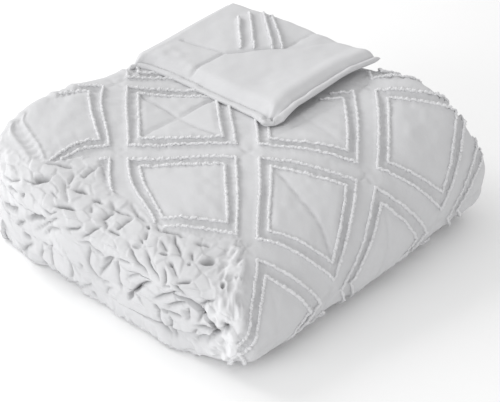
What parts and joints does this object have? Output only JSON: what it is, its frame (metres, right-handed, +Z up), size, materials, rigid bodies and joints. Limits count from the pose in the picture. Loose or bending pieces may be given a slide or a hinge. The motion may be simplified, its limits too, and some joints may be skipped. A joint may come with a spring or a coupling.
{
  "type": "weighted blanket",
  "caption": "Folded quilted weighted blanket with tufted diamond rows and one corner of its top ply turned over.",
  "frame": {"origin": "centre of the bounding box's bottom, where the blanket lies on the floor", "axes": "+Z up, X along the crumpled fold side, which faces -Y, and the tall smooth fold at +X"},
  "size_m": [0.4496, 0.4682, 0.1781],
  "materials": {
    "white_cotton": "matt"
  },
  "bodies": {
    "root": {"blanket": "white_cotton"}
  },
  "joints": []
}
